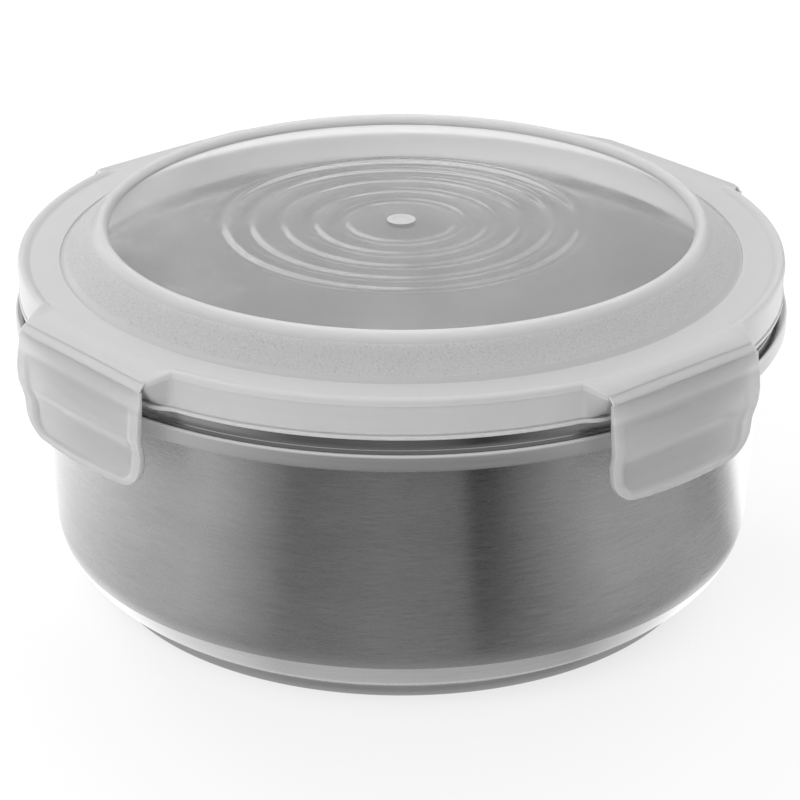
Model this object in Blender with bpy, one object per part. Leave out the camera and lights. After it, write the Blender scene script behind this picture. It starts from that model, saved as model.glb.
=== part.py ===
"""Round stainless food container: a deep-drawn bowl, and a clip-lock lid with four hinged latches."""

import math

import bmesh
import bpy

MM = 0.001

# Bowl, in millimetres like every size below
SHEET = 0.6             # thickness of the steel
WALL_RADIUS = 80.5      # outside of the wall, at its top
WALL_DRAFT = 2.1        # how much the wall narrows on the way down
BOWL_HEIGHT = 69.7      # table to the top of the rim
CORNER_HEIGHT = 16.8    # table to the end of the rounded corner
CORNER_TURN = 60.0      # degrees of arc in that corner
FOOT_INSET = 10.0       # from the wall in to the side of the foot
FOOT_HEIGHT = 3.2
FOOT_ROUND = 1.1        # fillet at the foot's lower edge
FOOT_RING = 9.5         # width of the ring it stands on
BASE_RECESS = 0.6       # how far the middle of the base is pressed up
HOOK_PROUD = 4.8        # hook bead, out from the wall
HOOK_DEPTH = 3.8        # hook bead, bottom to top
NECK_PROUD = 2.5        # neck, out from the wall
NECK_HEIGHT = 5.2       # hook bead to the top of the rim
BEND = 0.15             # inside radius of the bends in the hook bead
RIM_FILLET = 0.6        # where the hook bead meets the wall

# Lid and gasket
CLEARANCE = 0.3         # between pieces that touch
GASKET_HEIGHT = 3.1
GASKET_LIP = 1.5        # thinner inner part of the gasket
RIM_PLATE = 2.1         # thickness of the rim, over the gasket's channel
SKIRT_GAP = 2.8         # hook bead to the lower edge of the skirt
SKIRT_PLAY = 0.4        # neck to the inside of the skirt
SKIRT_WALL = 1.0
SKIRT_FLARE = 0.3       # share of the tab's reach that the skirt's lower edge takes up
PLUG_INSET = 8.0        # inside of the neck in to the plug rib
PLUG_DEPTH = 6.4        # plug rib, below the channel's ceiling
PLUG_WALL = 1.6
SLOPE_RUN = 6.4         # frosted slope, measured along the radius
DOME_RISE = 6.0         # rim to the top of the window
STACK_WIDTH = 3.9       # stacking bead
STACK_RISE = 1.6
LID_WALL = 1.6          # thickness of the window and the slope
GROOVE = 0.4            # between the slope and the rim
LIP_WIDTH = 2.6         # low rounded lip along the rim's outer edge
LIP_RISE = 0.7          # lip, above the rim
LIP_DROP = 0.8          # its lower edge, below the rim
EDGE_ROUND = 0.4        # softened lower edges of the skirt and the plug rib

# Latches and their film hinges
LATCH_SIDES = {"front": -90.0, "right": 0.0, "back": 90.0, "left": 180.0}
LATCH_WIDTH = 42.0      # at the hinge
LATCH_TAPER = 1.8       # how much each side comes in on the way down
LATCH_BOW = 1.6         # how much the lower edge curves down in the middle
LATCH_TAIL = 10.0       # snap rib to the lower edge, where the fingers pull
LATCH_WALL = 1.4
LATCH_TOP_WALL = 0.7    # thinned next to the hinge
LATCH_CORNER = 5.5      # radius of the lower corners
BULGE_PLAY = 1.9        # hook bead to the inside of the latch
LIFT_PLAY = 0.9         # hook bead to the part of the latch below it
SNAP_WIDTH = 30.0       # snap rib inside the latch
SNAP_DEPTH = 1.2        # height of the snap rib
SNAP_DROP = 0.5         # hook bead down to the snap rib
BORDER = 2.6            # raised frame at the sides of the latch's panel
LOW_BORDER = 1.2        # raised frame below the panel
PANEL_DEPTH = 0.4
WAIST_DEPTH = 0.4       # how much deeper the panel is below the hook bead
PANEL_TOP = 3.6         # hinge axis to the top of the panel
HINGE_OUT = 1.6         # hinge axis, out from the hook bead
HINGE_DROP = 2.4        # hinge axis, below the rim
HINGE_GAP = 0.6         # hinge axis to the tab and to the latch
HINGE_WEB = 0.56        # thickness of the film hinge
TAB_INSET = 1.3         # end of the latch in to the end of the tab's straight front
TAB_CORNER = 5.5        # softened corner of the tab, along its front
TAB_DROOP = 1.5         # how much the lip slopes down to the tab's front

# Facets
TURN_STEPS = 64
ARC_STEPS = 4
TAB_STEPS = 6
FLARE_STEPS = 4
BEND_STEPS = 3
BETWEEN_STEPS = 8
WEB_SIDES = 8

# Places worked out from the sizes
WALL_FOOT = WALL_RADIUS - WALL_DRAFT
FOOT_RADIUS = WALL_FOOT - FOOT_INSET
HOOK_RADIUS = WALL_RADIUS + HOOK_PROUD
NECK_RADIUS = WALL_RADIUS + NECK_PROUD
OUTER_BEND = BEND + SHEET
HOOK_TOP = BOWL_HEIGHT - NECK_HEIGHT
HOOK_LOW = HOOK_TOP - HOOK_DEPTH
GASKET_LOW = BOWL_HEIGHT + CLEARANCE
GASKET_TOP = GASKET_LOW + GASKET_HEIGHT
CHANNEL_TOP = GASKET_TOP + CLEARANCE
RIM_TOP = CHANNEL_TOP + RIM_PLATE
SKIRT_LOW = HOOK_TOP + SKIRT_GAP
SKIRT_INSIDE = NECK_RADIUS + SKIRT_PLAY
SKIRT_OUTSIDE = SKIRT_INSIDE + SKIRT_WALL
PLUG_RADIUS = NECK_RADIUS - SHEET - PLUG_INSET
SLOPE_FOOT = PLUG_RADIUS + CLEARANCE
SLOPE_TOP = SLOPE_FOOT - SLOPE_RUN
WINDOW_RADIUS = SLOPE_TOP - STACK_WIDTH
WINDOW_TOP = RIM_TOP + DOME_RISE
HINGE_REACH = HOOK_RADIUS + HINGE_OUT
HINGE_LEVEL = RIM_TOP - HINGE_DROP
TAB_FRONT = HINGE_REACH - HINGE_GAP
TAB_HALF = LATCH_WIDTH / 2 - TAB_INSET
TAB_SPACING = 2 * math.pi / len(LATCH_SIDES)
SNAP_TOP = HOOK_LOW - SNAP_DROP
SNAP_LOW = SNAP_TOP - SNAP_DEPTH
LATCH_LOW = SNAP_LOW - LATCH_TAIL


def ease(value):
    """Smooth step from 0 to 1."""
    value = min(max(value, 0.0), 1.0)
    return value * value * (3.0 - 2.0 * value)


def arc(centre, reach, rise, start, end, steps=ARC_STEPS):
    """Points on an elliptical arc, its angles in degrees, both ends included."""
    points = []
    for step in range(steps + 1):
        angle = math.radians(start + (end - start) * step / steps)
        points.append((centre[0] + reach * math.cos(angle), centre[1] + rise * math.sin(angle)))
    return points


def offset(points, distance):
    """The line of points moved to its left by a distance."""
    normals = []
    for (x0, z0), (x1, z1) in zip(points, points[1:]):
        length = math.hypot(x1 - x0, z1 - z0)
        normals.append(((z0 - z1) / length, (x1 - x0) / length))
    before = [normals[0]] + normals
    after = normals + [normals[-1]]
    moved = []
    for (x, z), (ax, az), (bx, bz) in zip(points, before, after):
        scale = distance / (1.0 + ax * bx + az * bz)
        moved.append((x + scale * (ax + bx), z + scale * (az + bz)))
    return moved


def material(name, colour, roughness, metallic=0.0, alpha=1.0):
    result = bpy.data.materials.new(name)
    result.use_nodes = True
    shader = result.node_tree.nodes["Principled BSDF"]
    shader.inputs["Base Color"].default_value = (*colour, 1.0)
    shader.inputs["Roughness"].default_value = roughness
    shader.inputs["Metallic"].default_value = metallic
    shader.inputs["Alpha"].default_value = alpha
    return result


def add_object(name, mesh, finish, parent=None):
    """Turn a bmesh into a named, smooth-shaded object."""
    bmesh.ops.recalc_face_normals(mesh, faces=mesh.faces[:])
    data = bpy.data.meshes.new(name)
    mesh.to_mesh(data)
    mesh.free()
    data.materials.append(finish)
    data.shade_smooth()
    data.set_sharp_from_angle(angle=math.radians(35))
    result = bpy.data.objects.new(name, data)
    bpy.context.scene.collection.objects.link(result)
    result.parent = parent
    return result


def even_angles():
    return [2 * math.pi * step / TURN_STEPS for step in range(TURN_STEPS)]


def turned(name, section, angles, finish, capped, flare=None, parent=None):
    """Solid swept round Z. A section point is a radius, a height and its shares of flare and droop."""
    mesh = bmesh.new()
    rings = []
    for radius, height, out_share, down_share in section:
        ring = []
        for angle in angles:
            out, down = flare(angle) if flare else (0.0, 0.0)
            reach = radius + out_share * out
            place = (reach * math.cos(angle), reach * math.sin(angle), height - down_share * down)
            ring.append(mesh.verts.new([value * MM for value in place]))
        rings.append(ring)
    pairs = list(zip(rings, rings[1:]))
    if capped:
        mesh.faces.new(rings[0])
        mesh.faces.new(rings[-1])
    else:
        pairs.append((rings[-1], rings[0]))
    for low, high in pairs:
        for here in range(len(angles)):
            there = (here + 1) % len(angles)
            mesh.faces.new((low[here], low[there], high[there], high[here]))
    return add_object(name, mesh, finish, parent)


def round_section(points):
    """Section points that take no part in the flare."""
    return [(radius, height, 0.0, 0.0) for radius, height in points]


def bowl_outside():
    """Outside of the bowl, from the recess in its base up to its rim."""
    ring_inside = FOOT_RADIUS - FOOT_RING
    recess_edge = ring_inside - 2 * BASE_RECESS
    corner_angle = math.radians(CORNER_TURN)
    corner_start = (FOOT_RADIUS + RIM_FILLET, FOOT_HEIGHT)
    corner_reach = (WALL_FOOT - corner_start[0]) / (1 - math.cos(corner_angle))
    corner_rise = (CORNER_HEIGHT - corner_start[1]) / math.sin(corner_angle)
    nose = HOOK_RADIUS - OUTER_BEND
    points = [(recess_edge - FOOT_RING, BASE_RECESS), (recess_edge, BASE_RECESS), (ring_inside, 0.0)]
    points += arc((FOOT_RADIUS - FOOT_ROUND, FOOT_ROUND), FOOT_ROUND, FOOT_ROUND, -90, 0, 2)
    points += [(FOOT_RADIUS, FOOT_HEIGHT - RIM_FILLET)]
    points += arc((WALL_FOOT - corner_reach, CORNER_HEIGHT), corner_reach, corner_rise, -CORNER_TURN, 0)
    points += [(WALL_RADIUS, HOOK_LOW - 2 * RIM_FILLET)]
    points += [(WALL_RADIUS + RIM_FILLET, HOOK_LOW - RIM_FILLET / 2)]
    points += [(WALL_RADIUS + 2 * RIM_FILLET, HOOK_LOW)]
    points += arc((nose, HOOK_LOW + OUTER_BEND), OUTER_BEND, OUTER_BEND, -90, 0, BEND_STEPS)
    points += arc((nose, HOOK_TOP - OUTER_BEND), OUTER_BEND, OUTER_BEND, 0, 90, BEND_STEPS)
    points += [(NECK_RADIUS, HOOK_TOP), (NECK_RADIUS, BOWL_HEIGHT - SHEET / 2)]
    return points


def make_bowl():
    outside = bowl_outside()
    inside = offset(outside, SHEET)
    rim = [(NECK_RADIUS - SHEET / 2, BOWL_HEIGHT)]
    steel = material("brushed_steel", (0.42, 0.42, 0.42), 0.32, metallic=1.0)
    return turned("bowl", round_section(outside + rim + inside[::-1]), even_angles(), steel, capped=True)


def tab_flare(angle):
    """How far the rim stands out of its circle and droops, for the straight tabs of the latches."""
    local = abs((angle + TAB_SPACING / 2) % TAB_SPACING - TAB_SPACING / 2)
    past = TAB_FRONT * math.tan(local) - TAB_HALF
    share = 1.0 - ease(past / TAB_CORNER)
    return share * (TAB_FRONT / math.cos(local) - SKIRT_OUTSIDE), share * TAB_DROOP


def lid_angles():
    """Directions round the lid, closer together at the tabs."""
    tab = [TAB_HALF * (2 * step / TAB_STEPS - 1) for step in range(TAB_STEPS + 1)]
    flare = [TAB_HALF + TAB_CORNER * (step + 1) / FLARE_STEPS for step in range(FLARE_STEPS)]
    across = [-value for value in flare[::-1]] + tab + flare
    local = [math.atan2(value, TAB_FRONT) for value in across]
    free = TAB_SPACING - 2 * local[-1]
    local += [local[-1] + free * (step + 1) / BETWEEN_STEPS for step in range(BETWEEN_STEPS - 1)]
    return [side * TAB_SPACING + value for side in range(len(LATCH_SIDES)) for value in local]


def lid_section():
    """Section of the lid, from the top of the window round to its underside."""
    groove = RIM_TOP - GROOVE
    slope_fall = WINDOW_TOP - GROOVE - groove
    slope_length = math.hypot(SLOPE_RUN, slope_fall)
    under_shift = LID_WALL * slope_length / slope_fall
    plug_inside = PLUG_RADIUS - PLUG_WALL
    window_low = WINDOW_TOP - LID_WALL
    under_top = SLOPE_TOP - under_shift + (LID_WALL - GROOVE) * SLOPE_RUN / slope_fall
    under_foot = WINDOW_TOP - GROOVE - (plug_inside + under_shift - SLOPE_TOP) * slope_fall / SLOPE_RUN
    crest = WINDOW_RADIUS + STACK_WIDTH * 0.4
    plug_low = CHANNEL_TOP - PLUG_DEPTH
    top = [(WINDOW_RADIUS, WINDOW_TOP), (crest - STACK_RISE / 2, WINDOW_TOP + STACK_RISE * 0.8)]
    top += [(crest, WINDOW_TOP + STACK_RISE), (crest + STACK_RISE / 2, WINDOW_TOP + STACK_RISE * 0.8)]
    top += [(SLOPE_TOP, WINDOW_TOP - GROOVE), (SLOPE_FOOT, groove), (SLOPE_FOOT + 2 * GROOVE, RIM_TOP)]
    edge = [(SKIRT_OUTSIDE - LIP_WIDTH, RIM_TOP, 0.0, 0.0)]
    edge += [(SKIRT_OUTSIDE - LIP_WIDTH * 0.65, RIM_TOP + LIP_RISE * 0.75, 0.3, 0.4)]
    edge += [(SKIRT_OUTSIDE - LIP_WIDTH * 0.35, RIM_TOP + LIP_RISE, 0.6, 0.7)]
    edge += [(SKIRT_OUTSIDE - LIP_WIDTH * 0.1, RIM_TOP + LIP_RISE * 0.5, 1.0, 1.0)]
    edge += [(SKIRT_OUTSIDE, RIM_TOP - LIP_DROP, 1.0, 1.0)]
    skirt = [(SKIRT_OUTSIDE, SKIRT_LOW + EDGE_ROUND), (SKIRT_OUTSIDE - EDGE_ROUND, SKIRT_LOW)]
    skirt += [(SKIRT_INSIDE + EDGE_ROUND / 2, SKIRT_LOW)]
    under = [(PLUG_RADIUS, CHANNEL_TOP)]
    under += [(PLUG_RADIUS, plug_low + EDGE_ROUND), (PLUG_RADIUS - EDGE_ROUND, plug_low)]
    under += [(plug_inside, plug_low), (plug_inside, under_foot), (under_top, window_low)]
    edge += [(radius, height, SKIRT_FLARE, 0.0) for radius, height in skirt]
    edge += [(SKIRT_INSIDE, CHANNEL_TOP, 1.0, 0.0)]
    return round_section(top) + edge + round_section(under)


def make_lid(parent):
    plastic = material("natural_polypropylene", (0.86, 0.86, 0.86), 0.35, alpha=0.55)
    return turned("lid", lid_section(), lid_angles(), plastic, capped=True, flare=tab_flare, parent=parent)


def make_gasket(parent):
    inside = PLUG_RADIUS + CLEARANCE
    outside = SKIRT_INSIDE - CLEARANCE
    lip_end = (inside + outside) / 2
    lip_low = GASKET_TOP - GASKET_LIP
    silicone = material("silicone", (0.7, 0.7, 0.7), 0.6)
    section = [(inside, GASKET_TOP), (outside, GASKET_TOP), (outside, GASKET_LOW)]
    section += [(lip_end + (lip_low - GASKET_LOW) / 2, GASKET_LOW), (lip_end, lip_low), (inside, lip_low)]
    return turned("gasket", round_section(section), even_angles(), silicone, capped=False, parent=parent)


def latch_inside(height):
    """Distance from the container's axis to the latch's inner face, without the snap rib."""
    step_low = HOOK_LOW - HOOK_DEPTH * 0.9
    step_high = HOOK_LOW + HOOK_DEPTH / 2
    bulge = ease((height - step_low) / (step_high - step_low))
    reach = HOOK_RADIUS + LIFT_PLAY + (BULGE_PLAY - LIFT_PLAY) * bulge
    top = ease((height - HOOK_TOP) / (HINGE_LEVEL - HOOK_TOP))
    return reach + (HINGE_REACH - reach) * top


def latch_rows():
    """Heights down the latch's middle, with one pair on each side of an edge."""
    panel_top = HINGE_LEVEL - PANEL_TOP
    panel_low = LATCH_LOW + LOW_BORDER
    corner_top = LATCH_LOW + LATCH_CORNER
    rows = [HINGE_LEVEL - HINGE_GAP, panel_top, panel_top - PANEL_DEPTH, HOOK_TOP, HOOK_LOW + HOOK_DEPTH / 2]
    rows += [SNAP_TOP + SNAP_DEPTH / 2, SNAP_TOP, SNAP_LOW, SNAP_LOW - SNAP_DEPTH / 2]
    rows += [(SNAP_LOW + corner_top) / 2, corner_top, panel_low + PANEL_DEPTH, panel_low]
    rows += [LATCH_LOW + LOW_BORDER / 4, LATCH_LOW]
    return sorted(set(rows), reverse=True)


def latch_half_width(height):
    """Half the latch's width, which tapers and is drawn in round the lower corners."""
    taper = LATCH_TAPER * max(HOOK_TOP - height, 0.0) / (HOOK_TOP - LATCH_LOW)
    rise = max(LATCH_LOW + LATCH_CORNER - height, 0.0)
    round_off = LATCH_CORNER - math.sqrt(max(LATCH_CORNER**2 - rise**2, 0.0))
    return LATCH_WIDTH / 2 - taper - round_off


def latch_faces(across, height, in_frame):
    """Inner and outer distance from the container's axis at one point of the latch."""
    inner = latch_inside(height)
    top = ease((height - HOOK_TOP) / (HINGE_LEVEL - HOOK_TOP))
    outer = inner + LATCH_WALL + (LATCH_TOP_WALL - LATCH_WALL) * top
    panel_low = LATCH_LOW + LOW_BORDER
    if in_frame and panel_low < height < HINGE_LEVEL - PANEL_TOP:
        waist = min((height - panel_low) / (HOOK_LOW - panel_low), 1.0)
        outer -= PANEL_DEPTH + WAIST_DEPTH * 4 * waist * (1.0 - waist)
    if abs(across) <= SNAP_WIDTH / 2 and SNAP_LOW <= height <= SNAP_TOP:
        tip = HOOK_RADIUS + CLEARANCE
        inner = min(inner, math.sqrt(tip**2 - across**2))
    return inner, outer


def make_latch(side, direction, parent, finish):
    """One flap, its origin on the hinge axis and its outside along local +X."""
    half = LATCH_WIDTH / 2
    right = [0.0, SNAP_WIDTH / 4, SNAP_WIDTH / 2, half - BORDER - PANEL_DEPTH, half - BORDER, half]
    columns = [-value for value in right[:0:-1]] + right
    mesh = bmesh.new()
    inside = []
    outside = []
    for height in latch_rows():
        squeeze = latch_half_width(height) / half
        lift = LATCH_BOW * max(SNAP_LOW - height, 0.0) / LATCH_TAIL
        inner_row = []
        outer_row = []
        for column in columns:
            across = column * squeeze
            inner, outer = latch_faces(across, height, abs(column) < half - BORDER)
            for row, reach in ((inner_row, inner), (outer_row, outer)):
                level = height + lift * (column / half)**2
                place = (reach - HINGE_REACH, across, level - HINGE_LEVEL)
                row.append(mesh.verts.new([value * MM for value in place]))
        inside.append(inner_row)
        outside.append(outer_row)
    for grid in (inside, outside):
        for upper, lower in zip(grid, grid[1:]):
            for here in range(len(columns) - 1):
                mesh.faces.new((upper[here], upper[here + 1], lower[here + 1], lower[here]))
    loops = [grid[0] + [row[-1] for row in grid[1:]] + grid[-1][-2::-1] + [row[0] for row in grid[-2:0:-1]]
             for grid in (inside, outside)]
    for here in range(len(loops[0])):
        mesh.faces.new((loops[0][here - 1], loops[0][here], loops[1][here], loops[1][here - 1]))
    return place_at_hinge(add_object("latch_" + side, mesh, finish, parent), direction)


def make_film_hinge(side, direction, parent, finish):
    """The thin web along the hinge axis, between the tab and the latch."""
    mesh = bmesh.new()
    half = LATCH_WIDTH / 2
    ends = []
    for end in (-half, half):
        circle = []
        for step in range(WEB_SIDES):
            angle = 2 * math.pi * step / WEB_SIDES
            place = (HINGE_WEB / 2 * math.cos(angle), end, HINGE_WEB / 2 * math.sin(angle))
            circle.append(mesh.verts.new([value * MM for value in place]))
        mesh.faces.new(circle)
        ends.append(circle)
    for here in range(WEB_SIDES):
        mesh.faces.new((ends[0][here - 1], ends[0][here], ends[1][here], ends[1][here - 1]))
    return place_at_hinge(add_object("film_hinge_" + side, mesh, finish, parent), direction)


def place_at_hinge(piece, direction):
    angle = math.radians(direction)
    place = (HINGE_REACH * math.cos(angle), HINGE_REACH * math.sin(angle), HINGE_LEVEL)
    piece.location = [value * MM for value in place]
    piece.rotation_euler = (0.0, 0.0, angle)
    return piece


def main():
    for old in list(bpy.data.objects):
        bpy.data.objects.remove(old, do_unlink=True)
    bowl = make_bowl()
    lid = make_lid(bowl)
    make_gasket(lid)
    clear_plastic = material("latch_polypropylene", (0.84, 0.84, 0.84), 0.3, alpha=0.6)
    for side, direction in LATCH_SIDES.items():
        make_latch(side, direction, lid, clear_plastic)
        make_film_hinge(side, direction, lid, clear_plastic)


main()
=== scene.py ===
"""Looks of the round stainless food container: a brushed steel bowl under a translucent clip-lock lid."""

import math

import bmesh
import bpy
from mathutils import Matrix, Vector


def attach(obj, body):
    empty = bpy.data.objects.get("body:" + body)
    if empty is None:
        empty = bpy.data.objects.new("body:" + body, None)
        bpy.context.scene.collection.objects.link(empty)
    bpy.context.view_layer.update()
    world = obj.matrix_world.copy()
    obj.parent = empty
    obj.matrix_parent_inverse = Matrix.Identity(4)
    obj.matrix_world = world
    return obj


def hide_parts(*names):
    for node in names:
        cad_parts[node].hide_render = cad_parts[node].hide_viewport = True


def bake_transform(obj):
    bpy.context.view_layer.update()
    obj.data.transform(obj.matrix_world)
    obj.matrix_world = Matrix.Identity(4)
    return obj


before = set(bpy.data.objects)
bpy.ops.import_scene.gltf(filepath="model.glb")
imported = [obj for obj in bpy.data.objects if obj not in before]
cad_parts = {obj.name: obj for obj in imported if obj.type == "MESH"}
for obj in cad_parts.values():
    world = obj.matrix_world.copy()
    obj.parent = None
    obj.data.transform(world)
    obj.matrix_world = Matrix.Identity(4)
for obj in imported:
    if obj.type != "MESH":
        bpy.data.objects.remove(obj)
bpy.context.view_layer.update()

MM = 0.001

# Bowl, in millimetres like every size down to the latches. A size without a note is the solids' own.
SHEET = 0.6
WALL_RADIUS = 80.5
WALL_DRAFT = 2.1
BOWL_HEIGHT = 69.7
CORNER_HEIGHT = 16.8
CORNER_TURN = 60.0
CREASE_TURN = 1.5       # degrees of the corner that take the foot's darker steel: painted shade in the crease over the foot
BRUSHED_FROM = 12.0     # the brushing ends this far above the table
FOOT_INSET = 10.0
FOOT_HEIGHT = 3.2
FOOT_ROUND = 1.1
FOOT_RING = 9.5
BASE_RECESS = 0.6
HOOK_PROUD = 4.8
HOOK_DEPTH = 3.8
HOOK_TURN = 70.0        # degrees of the bead's upper bend, before it runs in to the neck
NECK_PROUD = 2.5
NECK_HEIGHT = 5.2
BEND = 0.15
RIM_FILLET = 0.6

# Lid and gasket
CLEARANCE = 0.3
GASKET_HEIGHT = 3.1
GASKET_LIP = 1.5
GASKET_ROUND = 0.5      # rounded lower edges of the gasket
RIM_PLATE = 2.1
SKIRT_GAP = 2.8
SKIRT_PLAY = 0.4
SKIRT_WALL = 1.0
SKIRT_FLARE = 0.3
SKIRT_LIP = 1.0         # light bead along the skirt's lower edge
PLUG_INSET = 8.0
PLUG_DEPTH = 6.4
PLUG_WALL = 1.6
SLOPE_RUN = 6.4
SLOPE_ROWS = (0.25, 0.5, 0.82)          # rows of points down the slope, as shares of its run
SLOPE_HEEL = ((0.7, 0.5), (0.3, 0.15))  # soft foot of the slope: in from the groove, and above it
DOME_RISE = 6.0
STACK_WIDTH = 3.9
STACK_RISE = 1.6
STACK_CREST = 0.4       # share of the stacking bead's width, from the window out to its crest
STACK_REACH = 0.75      # half-width of the bead's arc, as a share of its rise
STACK_SINK = 0.3        # share of the rise that lies below the middle of the arc
STACK_ARC = (165, 30)   # degrees from which and to which the arc goes
STACK_SOFT = 0.2        # soft edge between the bead and the slope
LID_WALL = 1.6
GROOVE = 0.4
LIP_WIDTH = 2.6
LIP_RISE = 0.7
LIP_DROP = 0.8
LIP_STEP = 0.2          # how far the lip stands out over the skirt
LIP_SLANT = 0.15        # height of the slanted step under the lip
EDGE_ROUND = 0.4
UNDER_ROUND = 0.5       # softened corners on the lid's underside
SOFT_STEP = 0.05        # least step: it softens an edge, or keeps two faces out of one plane
GATE_RADIUS = 3.2       # low milky ring of the moulding gate in the middle of the window
GATE_WIDTH = 1.6        # width of that ring
GATE_RISE = 0.15        # its height
WINDOW_LAP = 0.3        # how far the window reaches into the moulding round it
WINDOW_RINGS = (0.2, 0.5, 0.8, 1.0)     # rings of points on the window's top, as shares of its radius
RIPPLE_RADII = (13.0, 20.0, 27.0, 34.0, 40.0)   # low ripples on the window's underside
RIPPLE_WIDTH = 4.4      # width of a ripple
RIPPLE_RISE = 0.09      # its height

# Lip's crown: shares of its width in from the edge, of its rise, and of the tab's flare and droop
LIP_CROWN = ((1.2, 0.0, 0.0, 0.0), (1.0, SOFT_STEP / LIP_RISE, 0.0, 0.02), (0.65, 0.75, 0.3, 0.4),
             (0.35, 1.0, 0.6, 0.7), (0.1, 0.5, 1.0, 1.0))

# Latches and their film hinges
LATCH_SIDES = {"front": -90.0, "right": 0.0, "back": 90.0, "left": 180.0}
LATCH_WIDTH = 42.0
LATCH_TAPER = 1.8
LATCH_BOW = 1.6
LATCH_TAIL = 10.0
LATCH_WALL = 1.4
LATCH_TOP_WALL = 0.7
LATCH_CORNER = 5.5
LATCH_EDGE = 0.35       # rounding of the flap's edges
BULGE_PLAY = 1.9
BULGE_FALL = 0.9        # the bulge starts below the bead by this share of the bead's depth
LIFT_PLAY = 0.9
SNAP_WIDTH = 30.0
SNAP_DEPTH = 1.2
SNAP_DROP = 0.5
SNAP_FADE = 1.2         # length in which the snap rib's ends fade out
BORDER = 2.6
LOW_BORDER = 1.2
PANEL_DEPTH = 0.4
PANEL_EDGE = 0.9        # soft step between the frame and the panel
PANEL_CORNER = 3.4      # radius of the panel's lower corners
PANEL_FADE = 3.0        # softer step at the top of the panel
PANEL_TOP = 3.6
ROOT_FADE = 1.6         # the root's painted light fades out this far down from the panel's top
WAIST_DEPTH = 0.4
HINGE_OUT = 1.6
HINGE_DROP = 2.4
HINGE_GAP = 0.6
WEB_WALL = 0.4          # thickness of the bent film
WEB_BEND = ((-0.4, 1.2), (-0.05, 0.95), (0.45, 0.55), (0.9, 0.0))   # out from the tab, and above the hinge
WEB_END = ((0.55, 0.0), (0.58, -0.4))   # out from the hinge, and above the latch's top
TAB_INSET = 1.3
TAB_CORNER = 5.5
TAB_DROOP = 1.5

# Facets
TURN_STEPS = 192
ARC_STEPS = 14
TAB_STEPS = 14
FLARE_STEPS = 18
BETWEEN_STEPS = 36
LIP_STEPS = 5
RIPPLE_STEPS = 8
LATCH_COLUMNS = 56
LATCH_ROWS = 64
LATCH_CORNER_ROWS = 16
LATCH_EDGE_STEPS = 3
WEB_STEPS = 8
SHARP_ANGLE = 40.0      # edges past this many degrees stay sharp
LATCH_SHARP_ANGLE = 60.0    # the same on the flaps
LATCH_EDGE_ANGLE = 50.0     # edges of the flaps past this many degrees are rounded

# Places worked out from the sizes
WALL_FOOT = WALL_RADIUS - WALL_DRAFT
FOOT_RADIUS = WALL_FOOT - FOOT_INSET
HOOK_RADIUS = WALL_RADIUS + HOOK_PROUD
NECK_RADIUS = WALL_RADIUS + NECK_PROUD
OUTER_BEND = BEND + SHEET
HOOK_TOP = BOWL_HEIGHT - NECK_HEIGHT
HOOK_LOW = HOOK_TOP - HOOK_DEPTH
GASKET_LOW = BOWL_HEIGHT + CLEARANCE
GASKET_TOP = GASKET_LOW + GASKET_HEIGHT
CHANNEL_TOP = GASKET_TOP + CLEARANCE
RIM_TOP = CHANNEL_TOP + RIM_PLATE
SKIRT_LOW = HOOK_TOP + SKIRT_GAP
SKIRT_INSIDE = NECK_RADIUS + SKIRT_PLAY
SKIRT_OUTSIDE = SKIRT_INSIDE + SKIRT_WALL
PLUG_RADIUS = NECK_RADIUS - SHEET - PLUG_INSET
PLUG_LOW = CHANNEL_TOP - PLUG_DEPTH
SLOPE_FOOT = PLUG_RADIUS + CLEARANCE
SLOPE_TOP = SLOPE_FOOT - SLOPE_RUN
WINDOW_RADIUS = SLOPE_TOP - STACK_WIDTH
WINDOW_TOP = RIM_TOP + DOME_RISE
WINDOW_LOW = WINDOW_TOP - LID_WALL
GROOVE_LEVEL = RIM_TOP - GROOVE
SLOPE_LEVEL = WINDOW_TOP - GROOVE
SLOPE_FALL = SLOPE_LEVEL - GROOVE_LEVEL
HINGE_REACH = HOOK_RADIUS + HINGE_OUT
HINGE_LEVEL = RIM_TOP - HINGE_DROP
TAB_FRONT = HINGE_REACH - HINGE_GAP
TAB_HALF = LATCH_WIDTH / 2 - TAB_INSET
TAB_SPACING = 2 * math.pi / len(LATCH_SIDES)
SNAP_TOP = HOOK_LOW - SNAP_DROP
SNAP_LOW = SNAP_TOP - SNAP_DEPTH
LATCH_LOW = SNAP_LOW - LATCH_TAIL
LATCH_TOP = HINGE_LEVEL - HINGE_GAP

# Finishes
PLASTIC_IOR = 1.49
SILICONE_IOR = 1.41
MARK_RELIEF = 0.0001    # depth of the marks on the steel, in metres
GRAIN_RELIEF = 0.0002   # depth of the frosted grain, in metres

# Photograph's camera, in degrees, metres and a lens in millimetres
CAMERA_AZIMUTH = 48.9
CAMERA_ELEVATION = 24.53
CAMERA_DISTANCE = 0.6696
CAMERA_TARGET = Vector((0.0, 0.0, 0.0377))
CAMERA_LENS = 133.03
CAMERA_SENSOR = 36.0
CAMERA_SHIFT = -0.00164
CAMERA_NEAREST = 0.01

# Studio, its lengths in metres
FLOOR_SIZE = 12.0
FLOOR_WHITE = 0.7       # share of the floor that shows plain white, without the shadow
ROOM_LIGHT = 0.72
LAMP_DISTANCE = 1.6
LAMP_SIZE = 1.2
CARD_LIGHT = 2.2        # light of a card's tone of 1
CARD_STEPS = 96
CARD_LIFT = 0.0005      # how far the cards lie above the floor
CARD_START = 0.0695     # radius at which the card close round the foot starts
CARD_NEAR = 0.086       # from here out lies the next card
CARD_AROUND = 0.1       # and from here out the large one
CARD_EDGE = 1.5         # where it turns up
CARD_TOP = 0.45         # height of its upright part

# Lamps: the turn from the camera and the elevation in degrees, and the power in watts
LAMPS = (("key", -35, 36, 9.0), ("back_left", -154, 40, 10.0), ("back_right", 152, 40, 5.0))

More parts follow.
